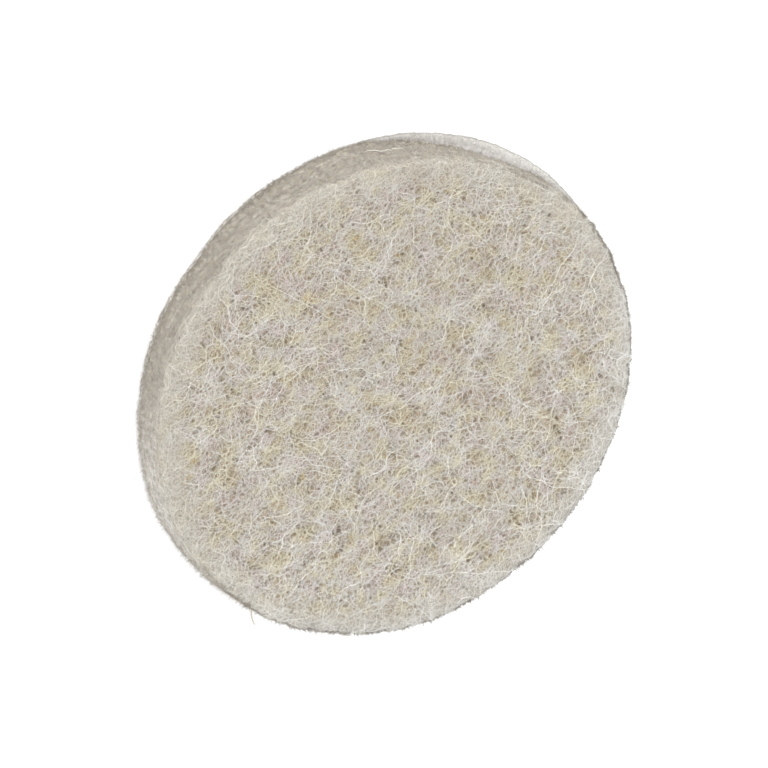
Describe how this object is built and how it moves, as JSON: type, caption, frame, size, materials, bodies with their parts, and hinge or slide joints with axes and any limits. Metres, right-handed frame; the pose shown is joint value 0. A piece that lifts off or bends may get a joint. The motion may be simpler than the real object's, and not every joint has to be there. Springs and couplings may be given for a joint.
{
  "type": "felt polishing wheel",
  "caption": "Round pressed wool felt polishing disc with a glued loop-cloth backing, held by hook and loop on a lapidary polisher",
  "frame": {"origin": "on the felt's axis, on the underside of the loop backing, where the disc rests or is pressed onto its holder", "axes": "+Z out of the felt's working face; +X is any direction across the disc, fixed only by the backing, which is glued 0.5 mm off centre towards 221 degrees round from +X; +Y completes the frame"},
  "size_m": [0.1017, 0.1016, 0.0093],
  "materials": {
    "wool_felt": "matte",
    "hot_melt_adhesive": "satin",
    "loop_cloth": "matte"
  },
  "bodies": {
    "root": {"felt_disc": "wool_felt", "adhesive_film": "hot_melt_adhesive", "loop_backing": "loop_cloth"}
  },
  "joints": []
}
